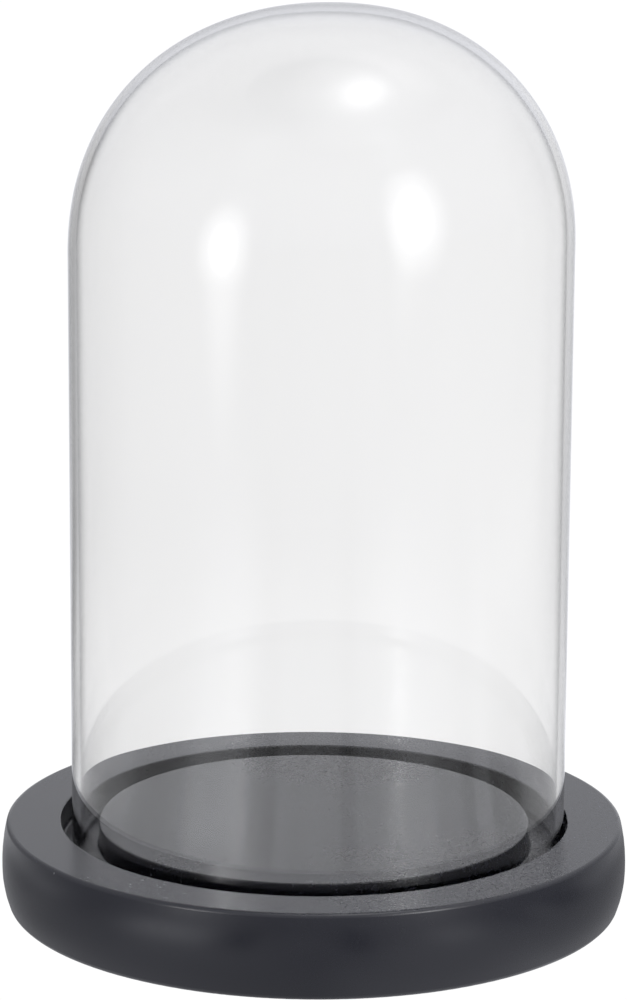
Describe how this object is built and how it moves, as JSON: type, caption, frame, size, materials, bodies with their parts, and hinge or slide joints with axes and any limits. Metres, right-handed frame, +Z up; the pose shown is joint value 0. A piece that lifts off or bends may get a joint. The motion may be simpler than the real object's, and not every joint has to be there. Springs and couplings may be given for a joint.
{
  "type": "bell jar dome",
  "caption": "Clear glass bell jar with a rounded closed end that stands in an annular groove of a thick round dark base and lifts off to show or cover an object.",
  "frame": {"origin": "centre of the surface that the object stands on, under the middle of the base", "axes": "+Z up along the dome's length and its lift-off direction; -Y towards the viewer, +X to the viewer's right"},
  "size_m": [0.15, 0.15, 0.217],
  "materials": {
    "clear_glass": "clear, smooth",
    "black_paint": "satin black lacquer over turned fibreboard",
    "pad_rubber": "matt"
  },
  "bodies": {
    "base": {"base_board": "black_paint", "foot_pad_front_left": "pad_rubber", "foot_pad_front_right": "pad_rubber", "foot_pad_rear_left": "pad_rubber", "foot_pad_rear_right": "pad_rubber"},
    "dome": {"glass_dome": "clear_glass"}
  },
  "joints": [
    {"name": "dome_lift", "type": "slide", "parent": "base", "child": "dome", "axis": [0, 0, 1], "range_m": [0, 0.22]}
  ]
}
